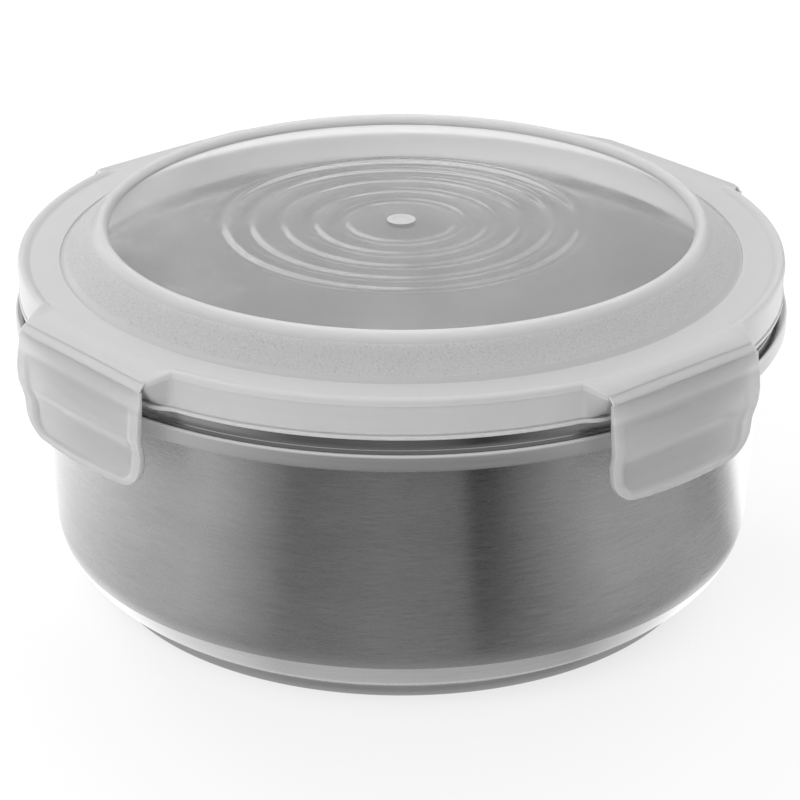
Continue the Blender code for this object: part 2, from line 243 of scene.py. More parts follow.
# Tones of the cards: the share of a turn, from behind the container by its left, and the tone there
FOOT_TONES = (
    (0.00, 0.20), (0.12, 0.27), (0.20, 0.60), (0.32, 0.72), (0.38, 0.42), (0.44, 0.25), (0.59, 0.21),
    (0.63, 0.38), (0.68, 0.70), (0.80, 0.55), (0.88, 0.27), (1.00, 0.20))
NEAR_TONES = (
    (0.00, 0.16), (0.10, 0.20), (0.18, 0.73), (0.27, 0.45), (0.34, 0.25), (0.43, 0.12), (0.57, 0.11),
    (0.68, 0.16), (0.74, 0.20), (0.78, 0.82), (0.86, 0.70), (0.92, 0.18), (1.00, 0.16))
AROUND_TONES = (
    (0.00, 0.19), (0.07, 0.20), (0.11, 0.68), (0.17, 0.77), (0.24, 0.52), (0.33, 0.33), (0.37, 0.33),
    (0.43, 0.08), (0.49, 0.12), (0.538, 0.10), (0.545, 0.02), (0.56, 0.03), (0.63, 0.26), (0.70, 0.28),
    (0.74, 0.13), (0.765, 0.25), (0.785, 0.85), (0.85, 0.80), (0.90, 0.27), (1.00, 0.19))


def ease(value):
    """Smooth step from 0 to 1."""
    value = min(max(value, 0.0), 1.0)
    return value * value * (3.0 - 2.0 * value)


def arc(centre, reach, rise, start, end, steps=ARC_STEPS):
    """Points on an elliptical arc, its angles in degrees, both ends included."""
    points = []
    for step in range(steps + 1):
        angle = math.radians(start + (end - start) * step / steps)
        points.append((centre[0] + reach * math.cos(angle), centre[1] + rise * math.sin(angle)))
    return points


def round_arc(centre, radius, start, end, steps):
    """Points on a circular arc."""
    return arc(centre, radius, radius, start, end, steps)


def curve(points, steps):
    """Smooth line through the points, with a number of steps in each span."""
    result = []
    for here in range(len(points) - 1):
        before = points[max(here - 1, 0)]
        start, end = points[here], points[here + 1]
        after = points[min(here + 2, len(points) - 1)]
        for step in range(steps):
            t = step / steps
            result.append(tuple(
                b + 0.5 * t * (c - a + t * (2 * a - 5 * b + 4 * c - d + t * (3 * (b - c) + d - a)))
                for a, b, c, d in zip(before, start, end, after)))
    return result + [points[-1]]


def offset(points, distance):
    """The line of points moved to its left by a distance."""
    normals = []
    for (x0, z0), (x1, z1) in zip(points, points[1:]):
        length = math.hypot(x1 - x0, z1 - z0)
        normals.append(((z0 - z1) / length, (x1 - x0) / length))
    before = [normals[0]] + normals
    after = normals + [normals[-1]]
    moved = []
    for (x, z), (ax, az), (bx, bz) in zip(points, before, after):
        scale = distance / (1.0 + ax * bx + az * bz)
        moved.append((x + scale * (ax + bx), z + scale * (az + bz)))
    return moved


def at_side(reach, across, height, angle):
    """Place in metres of a point that is given along and across the direction of a latch."""
    x = reach * math.cos(angle) - across * math.sin(angle)
    y = reach * math.sin(angle) + across * math.cos(angle)
    return x * MM, y * MM, height * MM


def new_object(name, mesh, materials, sharp=SHARP_ANGLE):
    """Turn a bmesh into an object with its materials, smooth but for edges past an angle in degrees."""
    bmesh.ops.recalc_face_normals(mesh, faces=mesh.faces[:])
    data = bpy.data.meshes.new(name)
    mesh.to_mesh(data)
    mesh.free()
    for item in materials:
        data.materials.append(item)
    data.shade_smooth()
    data.set_sharp_from_angle(angle=math.radians(sharp))
    result = bpy.data.objects.new(name, data)
    bpy.context.scene.collection.objects.link(result)
    return result


def even_angles(steps=TURN_STEPS):
    """Directions all round, evenly spaced."""
    return [2 * math.pi * step / steps for step in range(steps)]


def stretch(points, slot):
    """Section points of one material that take no part in the flare."""
    return [(radius, height, 0.0, 0.0, slot) for radius, height in points]


def turned(name, section, angles, materials, capped, flare=None):
    """Solid swept round Z.

    A point of the section is a radius, a height, its shares of flare and droop, and its material's number.
    """
    mesh = bmesh.new()
    rings = []
    for radius, height, out_share, down_share, _ in section:
        ring = []
        for angle in angles:
            out, down = flare(angle) if flare else (0.0, 0.0)
            reach = radius + out_share * out
            place = (reach * math.cos(angle), reach * math.sin(angle), height - down_share * down)
            ring.append(mesh.verts.new([value * MM for value in place]))
        rings.append(ring)
    slots = [point[-1] for point in section]
    spans = list(zip(rings, rings[1:], slots[1:]))
    if capped:
        mesh.faces.new(rings[0]).material_index = slots[0]
        mesh.faces.new(rings[-1]).material_index = slots[-1]
    else:
        spans.append((rings[-1], rings[0], slots[0]))
    for low, high, slot in spans:
        for here in range(len(angles)):
            there = (here + 1) % len(angles)
            face = mesh.faces.new((low[here], low[there], high[there], high[here]))
            face.material_index = slot
    return new_object(name, mesh, materials)


# Materials


def new_material(name):
    """New material, with its nodes and links."""
    result = bpy.data.materials.new(name)
    result.use_nodes = True
    return result, result.node_tree.nodes, result.node_tree.links


def set_inputs(node, **values):
    """Set a node's sockets by their names, with _ for a space."""
    for name, value in values.items():
        node.inputs[name.replace("_", " ")].default_value = value


def grey(value):
    return (value, value, value, 1.0)


def noise(nodes, links, scale, detail=3.0, roughness=0.5):
    """Noise over the object's own coordinates, its scale in features per metre along X, Y and Z."""
    place = nodes.new("ShaderNodeTexCoord")
    mapping = nodes.new("ShaderNodeMapping")
    set_inputs(mapping, Scale=scale)
    texture = nodes.new("ShaderNodeTexNoise")
    set_inputs(texture, Scale=1.0, Detail=detail, Roughness=roughness)
    links.new(place.outputs["Object"], mapping.inputs["Vector"])
    links.new(mapping.outputs["Vector"], texture.inputs["Vector"])
    return texture.outputs["Fac"]


def ramp(nodes, links, source, stops):
    """Colour ramp with (position, grey value) stops."""
    result = nodes.new("ShaderNodeValToRGB")
    while len(result.color_ramp.elements) < len(stops):
        result.color_ramp.elements.new(0.5)
    for element, (position, value) in zip(result.color_ramp.elements, stops):
        element.position = position
        element.color = grey(value)
    links.new(source, result.inputs["Fac"])
    return result.outputs["Color"]


def bump(nodes, links, source, strength, distance):
    """Normals of a relief that follows a grey source."""
    result = nodes.new("ShaderNodeBump")
    set_inputs(result, Strength=strength, Distance=distance)
    links.new(source, result.inputs["Height"])
    return result.outputs["Normal"]


def multiplied(nodes, links, first, second):
    """Product of two colours."""
    result = nodes.new("ShaderNodeMix")
    result.data_type = "RGBA"
    result.blend_type = "MULTIPLY"
    result.inputs["Factor"].default_value = 1.0
    links.new(first, result.inputs["A"])
    links.new(second, result.inputs["B"])
    return result.outputs["Result"]


def brushed_steel():
    """Steel brushed round the wall: short fine lines along the circumference."""
    result, nodes, links = new_material("steel_brushed")
    shader = nodes["Principled BSDF"]
    set_inputs(shader, Metallic=1.0, Anisotropic=1.0, Anisotropic_Rotation=0.25)
    tangent = nodes.new("ShaderNodeTangent")
    tangent.direction_type = "RADIAL"
    tangent.axis = "Z"
    links.new(tangent.outputs["Tangent"], shader.inputs["Tangent"])
    lines = noise(nodes, links, (170, 170, 5200), detail=4.0, roughness=0.6)
    patches = noise(nodes, links, (30, 30, 90), detail=2.0)
    line_tones = ramp(nodes, links, lines, ((0.25, 0.45), (0.75, 0.57)))
    patch_tones = ramp(nodes, links, patches, ((0.3, 0.93), (0.7, 1.0)))
    links.new(multiplied(nodes, links, line_tones, patch_tones), shader.inputs["Base Color"])
    links.new(ramp(nodes, links, lines, ((0.3, 0.25), (0.7, 0.31))), shader.inputs["Roughness"])
    links.new(bump(nodes, links, lines, 0.08, MARK_RELIEF), shader.inputs["Normal"])
    return result


def plain_steel(name, tone, roughness, marks, relief=0.06, clouds=1.0):
    """Drawn steel with faint marks of the spinning round it, and soft clouds where they are less than 1."""
    result, nodes, links = new_material(name)
    shader = nodes["Principled BSDF"]
    set_inputs(shader, Metallic=1.0)
    lines = noise(nodes, links, marks, detail=3.0, roughness=0.6)
    patches = noise(nodes, links, (34, 34, 14), detail=1.5)
    line_tones = ramp(nodes, links, lines, ((0.3, tone * 0.9), (0.7, tone)))
    patch_tones = ramp(nodes, links, patches, ((0.38, clouds), (0.62, 1.0)))
    links.new(multiplied(nodes, links, line_tones, patch_tones), shader.inputs["Base Color"])
    polish = ((0.3, roughness * 0.85), (0.7, roughness * 1.15))
    links.new(ramp(nodes, links, lines, polish), shader.inputs["Roughness"])
    links.new(bump(nodes, links, lines, relief, MARK_RELIEF), shader.inputs["Normal"])
    return result


def soft_plastic(name, roughness, depth, **more):
    """Plastic that light soaks in to a depth: its material, nodes, links and shader."""
    result, nodes, links = new_material(name)
    shader = nodes["Principled BSDF"]
    set_inputs(shader, IOR=PLASTIC_IOR, Roughness=roughness, Subsurface_Weight=1.0,
               Subsurface_Radius=(1.0, 1.0, 1.0), Subsurface_Scale=depth * MM, **more)
    return result, nodes, links, shader


def flow_bands(nodes, links, tone):
    """Faint bands of flow round a moulding."""
    flow = noise(nodes, links, (9, 9, 420), detail=2.0)
    return ramp(nodes, links, flow, ((0.2, tone * 0.96), (0.8, tone)))


def milky_plastic(name, tone, roughness, depth):
    """Natural polypropylene."""
    result, nodes, links, shader = soft_plastic(name, roughness, depth)
    links.new(flow_bands(nodes, links, tone), shader.inputs["Base Color"])
    return result


def latch_plastic(panel_tone, painted_light_root_tone, roughness, depth):
    """The flaps' plastic, which lets the steel show through, with painted light that makes the root above the
    panel lighter than the panel.
    """
    result, nodes, links, shader = soft_plastic("latch_plastic", roughness, depth, Transmission_Weight=0.4)
    # Painted light: the root above the panel gets a much lighter tone, which fades into the panel's tone
    # below.
    tones = flow_bands(nodes, links, painted_light_root_tone)
    place = nodes.new("ShaderNodeTexCoord")
    split = nodes.new("ShaderNodeSeparateXYZ")
    links.new(place.outputs["Object"], split.inputs["Vector"])
    height = nodes.new("ShaderNodeMapRange")
    height.interpolation_type = "SMOOTHSTEP"
    set_inputs(height, From_Min=(HINGE_LEVEL - PANEL_TOP - ROOT_FADE) * MM,
               From_Max=(HINGE_LEVEL - PANEL_TOP) * MM)
    links.new(split.outputs["Z"], height.inputs["Value"])
    shares = ramp(nodes, links, height.outputs["Result"], ((0.0, panel_tone / painted_light_root_tone), (1.0, 1.0)))
    links.new(multiplied(nodes, links, tones, shares), shader.inputs["Base Color"])
    return result


def clear_plastic():
    """The window: clear, with a faint haze."""
    result, nodes, links = new_material("lid_clear")
    shader = nodes["Principled BSDF"]
    set_inputs(shader, Base_Color=grey(0.98), IOR=PLASTIC_IOR, Transmission_Weight=0.97)
    haze = noise(nodes, links, (70, 70, 70), detail=4.0)
    links.new(ramp(nodes, links, haze, ((0.3, 0.03), (0.7, 0.10))), shader.inputs["Roughness"])
    return result


def frosted_plastic(name, tone, depth):
    """The slope: moulded with a grain that shows as fine dark and bright specks."""
    result, nodes, links, shader = soft_plastic(name, roughness=0.5, depth=depth)
    grain = noise(nodes, links, (2200, 2200, 2200), detail=2.0, roughness=0.7)
    specks = ((0.32, tone * 0.74), (0.43, tone * 0.97), (0.60, tone), (0.70, tone * 1.15))
    links.new(ramp(nodes, links, grain, specks), shader.inputs["Base Color"])
    links.new(bump(nodes, links, grain, 0.25, GRAIN_RELIEF), shader.inputs["Normal"])
    return result


def silicone():
    """The gasket: matt, and lets a little light through."""
    result, nodes, links = new_material("gasket_silicone")
    shader = nodes["Principled BSDF"]
    set_inputs(shader, IOR=SILICONE_IOR, Transmission_Weight=0.2)
    grain = noise(nodes, links, (400, 400, 400), detail=2.0)
    links.new(ramp(nodes, links, grain, ((0.3, 0.62), (0.7, 0.70))), shader.inputs["Base Color"])
    links.new(ramp(nodes, links, grain, ((0.3, 0.5), (0.7, 0.65))), shader.inputs["Roughness"])
    return result


# Bowl


def bowl_foot():
    """Outside of the base and the foot, from near the middle up to the crease."""
    ring_inside = FOOT_RADIUS - FOOT_RING
    recess_edge = ring_inside - 2 * BASE_RECESS
    points = [(recess_edge - FOOT_RING, BASE_RECESS), (recess_edge, BASE_RECESS), (ring_inside, 0.0)]
    points += round_arc((FOOT_RADIUS - FOOT_ROUND, FOOT_ROUND), FOOT_ROUND, -90, 0, steps=6)
    points += [(FOOT_RADIUS, FOOT_HEIGHT - RIM_FILLET)]
    return points + [(FOOT_RADIUS + RIM_FILLET / 3, FOOT_HEIGHT - RIM_FILLET / 3)]


def bowl_corner():
    """Outside of the rounded corner in three stretches: the crease, which takes the foot's darker steel as
    painted shade, the plain part and the brushed part.
    """
    turn = math.radians(CORNER_TURN)
    start = FOOT_RADIUS + RIM_FILLET
    reach = (WALL_FOOT - start) / (1 - math.cos(turn))
    rise = (CORNER_HEIGHT - FOOT_HEIGHT) / math.sin(turn)
    centre = (WALL_FOOT - reach, CORNER_HEIGHT)
    crease_angle = CREASE_TURN - CORNER_TURN
    brush_angle = math.degrees(math.asin((BRUSHED_FROM - CORNER_HEIGHT) / rise))
    crease = arc(centre, reach, rise, -CORNER_TURN, crease_angle, steps=1)
    plain = arc(centre, reach, rise, crease_angle, brush_angle)[1:]
    brushed = arc(centre, reach, rise, brush_angle, 0, steps=8)[1:]
    return crease, plain, brushed


def bowl_bead():
    """Outside of the hook bead, from its fillet on the wall over its nose."""
    nose = HOOK_RADIUS - OUTER_BEND
    points = [(WALL_RADIUS + RIM_FILLET / 3, HOOK_LOW - RIM_FILLET)]
    points += [(WALL_RADIUS + RIM_FILLET, HOOK_LOW - RIM_FILLET / 2)]
    points += [(WALL_RADIUS + 2 * RIM_FILLET, HOOK_LOW)]
    points += round_arc((nose, HOOK_LOW + OUTER_BEND), OUTER_BEND, -90, 0, steps=8)
    return points + round_arc((nose, HOOK_TOP - OUTER_BEND), OUTER_BEND, 0, HOOK_TURN, steps=7)


def bowl_neck():
    """Top of the hook bead and outside of the neck."""
    points = [(HOOK_RADIUS - OUTER_BEND, HOOK_TOP), (NECK_RADIUS + BEND, HOOK_TOP)]
    return points + [(NECK_RADIUS, HOOK_TOP + BEND), (NECK_RADIUS, BOWL_HEIGHT - SHEET / 2)]


def make_bowl():
    crease, corner, wall = bowl_corner()
    foot = bowl_foot() + crease
    wall += [(WALL_RADIUS, HOOK_LOW - 2 * RIM_FILLET)]
    bead = bowl_bead()
    neck = bowl_neck()
    inside = offset(foot + corner + wall + bead + neck, SHEET)
    edge = [(NECK_RADIUS - SHEET / 2, BOWL_HEIGHT)]
    finishes = [plain_steel("steel_plain", tone=0.74, roughness=0.26, marks=(60, 60, 900)),
                brushed_steel(),
                plain_steel("steel_bead", tone=0.70, roughness=0.60, marks=(20, 20, 3200)),
                plain_steel("steel_neck", tone=0.38, roughness=0.24, marks=(20, 20, 1600)),
                plain_steel("steel_inside", tone=0.53, roughness=0.24, marks=(25, 25, 260),
                            relief=0.02, clouds=0.55),
                # The foot's steel: the same drawn steel in a darker tone, painted shade on the foot and in
                # the crease over it.
                plain_steel("steel_foot_painted_shade", tone=0.35, roughness=0.30, marks=(60, 60, 900))]
    on_corner, on_wall, on_bead, on_neck, on_inside, on_painted_shade_foot = range(len(finishes))
    section = stretch(foot, on_painted_shade_foot) + stretch(corner, on_corner) + stretch(wall, on_wall)
    section += stretch(bead, on_bead) + stretch(neck + edge, on_neck) + stretch(inside[::-1], on_inside)
    bowl = turned("bowl_shell", section, even_angles(), finishes, capped=True)
    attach(bowl, "bowl")
    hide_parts("bowl")


# Lid


def tab_flare(angle):
    """How far the rim stands out of its circle and droops, for the straight tabs of the latches."""
    local = abs((angle + TAB_SPACING / 2) % TAB_SPACING - TAB_SPACING / 2)
    past = TAB_FRONT * math.tan(local) - TAB_HALF
    share = 1.0 - ease(past / TAB_CORNER)
    return share * (TAB_FRONT / math.cos(local) - SKIRT_OUTSIDE), share * TAB_DROOP


def lid_angles():
    """Directions round the lid, closer together at the tabs."""
    tab = [TAB_HALF * (2 * step / TAB_STEPS - 1) for step in range(TAB_STEPS + 1)]
    flare = [TAB_HALF + TAB_CORNER * (step + 1) / FLARE_STEPS for step in range(FLARE_STEPS)]
    across = [-value for value in flare[::-1]] + tab + flare
    local = [math.atan2(value, TAB_FRONT) for value in across]
    free = TAB_SPACING - 2 * local[-1]
    local += [local[-1] + free * (step + 1) / BETWEEN_STEPS for step in range(BETWEEN_STEPS - 1)]
    return [side * TAB_SPACING + value for side in range(len(LATCH_SIDES)) for value in local]


def window_section():
    """Section of the window: its top, with the gate in its middle, and its underside."""
    clear, milky = range(2)
    edge = WINDOW_RADIUS + WINDOW_LAP
    cap = GATE_WIDTH / 4
    gate = arc((GATE_RADIUS - GATE_WIDTH / 2, WINDOW_TOP), GATE_WIDTH / 2, GATE_RISE, 180, 0, steps=8)
    top = [(edge * share, WINDOW_TOP) for share in WINDOW_RINGS]
    underside = [(edge, WINDOW_LOW)] + window_ripples() + [(GATE_RADIUS, WINDOW_LOW), (cap, WINDOW_LOW)]
    return stretch([(cap, WINDOW_TOP)] + gate, milky) + stretch(top + underside, clear)


def window_ripples():
    """Low concentric ripples on the window's underside, from the outermost in."""
    points = []
    for radius in reversed(RIPPLE_RADII):
        for step in range(RIPPLE_STEPS + 1):
            across = 1.0 - 2 * step / RIPPLE_STEPS
            rise = RIPPLE_RISE * (1 - across * across) ** 2
            points.append((radius + across * RIPPLE_WIDTH / 2, WINDOW_LOW - rise))
    return points


def stacking_bead():
    """Low bead round the window, from the window out to the slope."""
    centre = (WINDOW_RADIUS + STACK_WIDTH * STACK_CREST, WINDOW_TOP + STACK_RISE * STACK_SINK)
    points = [(WINDOW_RADIUS, WINDOW_TOP + SOFT_STEP)]
    points += arc(centre, STACK_RISE * STACK_REACH, STACK_RISE * (1 - STACK_SINK), *STACK_ARC, steps=10)
    return points + [(SLOPE_TOP - STACK_SOFT, WINDOW_TOP - GROOVE / 3), (SLOPE_TOP, SLOPE_LEVEL)]


def rim_flat():
    """From the slope's soft foot through the groove to the flat of the rim."""
    points = [(SLOPE_FOOT - inset, GROOVE_LEVEL + rise) for inset, rise in SLOPE_HEEL]
    points += [(SLOPE_FOOT, GROOVE_LEVEL), (SLOPE_FOOT + GROOVE, GROOVE_LEVEL)]
    points += [(SLOPE_FOOT + 1.4 * GROOVE, RIM_TOP - SOFT_STEP)]
    return points + [(SLOPE_FOOT + 2 * GROOVE, RIM_TOP), (SLOPE_FOOT + 4 * GROOVE, RIM_TOP)]


def rim_lip():
    """Rounded lip along the rim's edge, which goes out and down to the front of the tabs."""
    points = []
    for inset, rise, flare, droop in LIP_CROWN:
        points.append((SKIRT_OUTSIDE - LIP_WIDTH * inset, RIM_TOP + LIP_RISE * rise, flare, droop))
    return curve(points + [(SKIRT_OUTSIDE, RIM_TOP - LIP_DROP, 1.0, 1.0)], LIP_STEPS)


def skirt():
    """Skirt under the lip, with a light bead along its lower edge, up to the ceiling of the channel."""
    bead_top = SKIRT_LOW + SKIRT_LIP
    hollow = SKIRT_OUTSIDE - 2 * LIP_STEP
    low = [(SKIRT_OUTSIDE - LIP_STEP, bead_top + 2 * LIP_STEP), (hollow, bead_top + LIP_STEP)]
    low += [(hollow, bead_top), (SKIRT_OUTSIDE, bead_top - LIP_STEP)]
    low += round_arc((SKIRT_OUTSIDE - EDGE_ROUND, SKIRT_LOW + EDGE_ROUND), EDGE_ROUND, 0, -90, steps=6)
    low += [(SKIRT_INSIDE + EDGE_ROUND / 2, SKIRT_LOW)]
    points = [(SKIRT_OUTSIDE - LIP_STEP, RIM_TOP - LIP_DROP - LIP_SLANT, 1.0, 1.0)]
    points += [(radius, height, SKIRT_FLARE, 0.0) for radius, height in low]
    return points + [(SKIRT_INSIDE, CHANNEL_TOP, 1.0, 0.0)]


def lid_underside():
    """Inside of the lid in three stretches: outer and inner face of the plug rib, and the ceiling."""
    inside = PLUG_RADIUS - PLUG_WALL
    shift = LID_WALL * math.hypot(SLOPE_RUN, SLOPE_FALL) / SLOPE_FALL
    top = SLOPE_TOP - shift + (LID_WALL - GROOVE) * SLOPE_RUN / SLOPE_FALL
    foot = SLOPE_LEVEL - (inside + shift - SLOPE_TOP) * SLOPE_FALL / SLOPE_RUN
    tip = (PLUG_RADIUS - PLUG_WALL / 2, PLUG_LOW + PLUG_WALL / 2)
    outer = [(PLUG_RADIUS, CHANNEL_TOP)] + round_arc(tip, PLUG_WALL / 2, 0, -90, steps=5)
    inner = round_arc(tip, PLUG_WALL / 2, -100, -180, steps=5) + [(inside, foot - UNDER_ROUND)]
    ceiling = [(inside - UNDER_ROUND, foot + UNDER_ROUND), (top + UNDER_ROUND, WINDOW_LOW - UNDER_ROUND)]
    ceiling += [(top - 1.2 * UNDER_ROUND, WINDOW_LOW - SOFT_STEP), (WINDOW_RADIUS, WINDOW_LOW - SOFT_STEP)]
    return outer, inner, ceiling


def lid_section():
    """Section of the lid round the window: stacking bead, frosted slope, rim, skirt and plug rib."""
    smooth, frosted, hollow, plug, crown = range(5)
    slope = [(SLOPE_TOP + SLOPE_RUN * share, SLOPE_LEVEL - SLOPE_FALL * share) for share in SLOPE_ROWS]
    edge = [(*point, smooth) for point in rim_lip() + skirt()]
    outer, inner, ceiling = lid_underside()
    section = stretch(stacking_bead(), crown) + stretch(slope, frosted) + stretch(rim_flat(), smooth) + edge
    return section + stretch(outer, smooth) + stretch(inner, plug) + stretch(ceiling, hollow)


def make_lid():
    milky = milky_plastic("lid_plastic", tone=0.525, roughness=0.32, depth=1.5)
    finishes = [milky,
                frosted_plastic("lid_frosted", tone=0.57, depth=18.0),
                # The lid's inside and the plug rib's inner face: the same plastic in a near-white tone,
                # painted light that brightens the lid's inside seen through the window.
                milky_plastic("lid_inside_painted_light", tone=0.98, roughness=0.35, depth=30.0),
                milky_plastic("lid_plug_painted_light", tone=0.98, roughness=0.35, depth=1.5),
                # The stacking bead: the lid's plastic in a darker tone, painted shade that dims the light
                # band along the bead.
                milky_plastic("lid_bead_painted_shade", tone=0.47, roughness=0.28, depth=12.0)]
    moulding = turned("lid_moulding", lid_section(), lid_angles(), finishes, capped=False, flare=tab_flare)
    window = turned("lid_window", window_section(), even_angles(), [clear_plastic(), milky], capped=True)
    window.visible_shadow = False
    window.visible_diffuse = False
    for piece in (moulding, window):
        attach(piece, "lid")
        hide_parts("lid")


def make_gasket():
    inside = PLUG_RADIUS + CLEARANCE
    outside = SKIRT_INSIDE - CLEARANCE
    lip_end = (inside + outside) / 2
    lip_low = GASKET_TOP - GASKET_LIP
    soft = GASKET_ROUND
    section = [(inside, GASKET_TOP), (outside, GASKET_TOP)]
    section += round_arc((outside - soft, GASKET_LOW + soft), soft, 0, -90, steps=5)
    section += round_arc((lip_end + soft, GASKET_LOW + soft), soft, -90, -150, steps=3)
    section += [(lip_end, lip_low - soft / 2), (lip_end - soft / 2, lip_low), (inside, lip_low)]
    gasket = turned("gasket_ring", stretch(section, 0), even_angles(), [silicone()], capped=False)
    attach(gasket, "lid")
    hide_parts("gasket")


# Latches


def latch_top_share(height):
    """Share of the way from the hook bead's top, 0, up to the hinge, 1."""
    return ease((height - HOOK_TOP) / (HINGE_LEVEL - HOOK_TOP))


def latch_inside(height):
    """Distance from the container's axis to the latch's inner face, without the snap rib."""
    step_low = HOOK_LOW - HOOK_DEPTH * BULGE_FALL
    step_high = HOOK_LOW + HOOK_DEPTH / 2
    bulge = ease((height - step_low) / (step_high - step_low))
    reach = HOOK_RADIUS + LIFT_PLAY + (BULGE_PLAY - LIFT_PLAY) * bulge
    return reach + (HINGE_REACH - reach) * latch_top_share(height)


def latch_half_width(height):
    """Half the latch's width before it tapers, drawn in round the lower corners."""
    rise = min(max(LATCH_LOW + LATCH_CORNER - height, 0.0), LATCH_CORNER)
    return LATCH_WIDTH / 2 - LATCH_CORNER + math.sqrt(LATCH_CORNER**2 - rise**2)


def panel_depth(across, height):
    """How deep the panel lies in the flap's outer face: soft at its top and deeper at its waist."""
    low = LATCH_LOW + LOW_BORDER
    x = abs(across) - LATCH_WIDTH / 2 + BORDER + PANEL_CORNER
    z = low + PANEL_CORNER - height
    inside = PANEL_CORNER - math.hypot(max(x, 0.0), max(z, 0.0)) - min(max(x, z), 0.0)
    waist = min(max((height - low) / (HOOK_LOW - low), 0.0), 1.0)
    depth = PANEL_DEPTH + WAIST_DEPTH * 4 * waist * (1.0 - waist)
    return depth * ease(inside / PANEL_EDGE) * ease((HINGE_LEVEL - PANEL_TOP - height) / PANEL_FADE)


def latch_faces(across, nominal, height):
    """Inner and outer distance from the container's axis at one point of the latch."""
    inner = latch_inside(height)
    outer = inner + LATCH_WALL + (LATCH_TOP_WALL - LATCH_WALL) * latch_top_share(height)
    outer -= panel_depth(nominal, height)
    snap_middle = (SNAP_TOP + SNAP_LOW) / 2
    rib = ease((SNAP_WIDTH / 2 + SNAP_FADE / 2 - abs(across)) / SNAP_FADE)
    rib *= ease((SNAP_DEPTH - abs(height - snap_middle)) / (SNAP_DEPTH / 2))
    tip = math.sqrt((HOOK_RADIUS + CLEARANCE) ** 2 - across**2)
    return inner + rib * min(tip - inner, 0.0), outer


def latch_rows():
    """Heights down the latch, closer together in the rounded lower corners."""
    straight = LATCH_ROWS - LATCH_CORNER_ROWS
    corner_top = LATCH_LOW + LATCH_CORNER
    rows = [LATCH_TOP + (corner_top - LATCH_TOP) * step / straight for step in range(straight)]
    turns = [math.radians(90 * step / LATCH_CORNER_ROWS) for step in range(LATCH_CORNER_ROWS + 1)]
    return rows + [corner_top - LATCH_CORNER * math.sin(turn) for turn in turns]


def latch_grids(mesh, angle):
    """Vertices of the flap's inner and outer face, row by row from its top."""
    columns = [2 * step / LATCH_COLUMNS - 1 for step in range(LATCH_COLUMNS + 1)]
    inside = []
    outside = []
    for height in latch_rows():
        half = latch_half_width(height)
        taper = LATCH_TAPER * max(HOOK_TOP - height, 0.0) / (HOOK_TOP - LATCH_LOW)
        lift = LATCH_BOW * max(SNAP_LOW - height, 0.0) / LATCH_TAIL
        inner_row = []
        outer_row = []
        for column in columns:
            across = column * (half - taper)
            level = height + lift * (column * half / (LATCH_WIDTH / 2)) ** 2
            for row, reach in zip((inner_row, outer_row), latch_faces(across, column * half, height)):
                row.append(mesh.verts.new(at_side(reach, across, level, angle)))
        inside.append(inner_row)
        outside.append(outer_row)
    return inside, outside


def grid_edge(grid):
    """Vertices once round the edge of a grid."""
    right = [row[-1] for row in grid[1:]]
    left = [row[0] for row in grid[-2:0:-1]]
    return grid[0] + right + grid[-1][-2::-1] + left


def make_latch(side, direction, finish):
    """One flap: its two faces, joined all round their edges."""
    mesh = bmesh.new()
    grids = latch_grids(mesh, math.radians(direction))
    for grid in grids:
        for upper, lower in zip(grid, grid[1:]):
            for here in range(LATCH_COLUMNS):
                mesh.faces.new((upper[here], upper[here + 1], lower[here + 1], lower[here]))
    inner, outer = [grid_edge(grid) for grid in grids]
    for here in range(len(inner)):
        mesh.faces.new((inner[here - 1], inner[here], outer[here], outer[here - 1]))
    latch = new_object("latch_flap_" + side, mesh, [finish], sharp=LATCH_SHARP_ANGLE)
    soften = latch.modifiers.new("edges", "BEVEL")
    soften.width = LATCH_EDGE * MM
    soften.segments = LATCH_EDGE_STEPS
    soften.limit_method = "ANGLE"
    soften.angle_limit = math.radians(LATCH_EDGE_ANGLE)
    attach(latch, "latch_" + side)
    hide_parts("latch_" + side)


def make_hinge_web(side, direction, finish):
    """The film between the tab and the flap, drawn bent from the tab down to the flap's top."""
    angle = math.radians(direction)
    half = LATCH_WIDTH / 2 - LATCH_EDGE
    line = [(TAB_FRONT + out, HINGE_LEVEL + up) for out, up in WEB_BEND]
    line += [(HINGE_REACH + out, LATCH_TOP + up) for out, up in WEB_END]
    section = line + offset(line, -WEB_WALL)[::-1]
    mesh = bmesh.new()
    rings = []
    for step in range(WEB_STEPS + 1):
        across = half * (2 * step / WEB_STEPS - 1)
        rings.append([mesh.verts.new(at_side(reach, across, height, angle)) for reach, height in section])
    mesh.faces.new(rings[0])
    mesh.faces.new(rings[-1])
    for first, second in zip(rings, rings[1:]):
        for here in range(len(section)):
            mesh.faces.new((first[here - 1], first[here], second[here], second[here - 1]))
    web = new_object("hinge_web_" + side, mesh, [finish])
    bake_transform(web)
    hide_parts("film_hinge_" + side)


# Studio


def towards(azimuth, elevation):
    """Direction from the container, its angles in degrees: azimuth 0 is along -Y, and 90 along +X."""
    turn = math.radians(azimuth)
    rise = math.radians(elevation)
    return Vector((math.sin(turn) * math.cos(rise), -math.cos(turn) * math.cos(rise), math.sin(rise)))


def make_camera():
    outward = towards(CAMERA_AZIMUTH, CAMERA_ELEVATION)
    data = bpy.data.cameras.new("camera")
    data.lens = CAMERA_LENS
    data.sensor_width = CAMERA_SENSOR
    data.shift_x = CAMERA_SHIFT
    data.clip_start = CAMERA_NEAREST
    camera = bpy.data.objects.new("camera", data)
    camera.location = CAMERA_TARGET + outward * CAMERA_DISTANCE
    camera.rotation_euler = outward.to_track_quat("Z", "Y").to_euler()
    bpy.context.scene.collection.objects.link(camera)
    bpy.context.scene.camera = camera


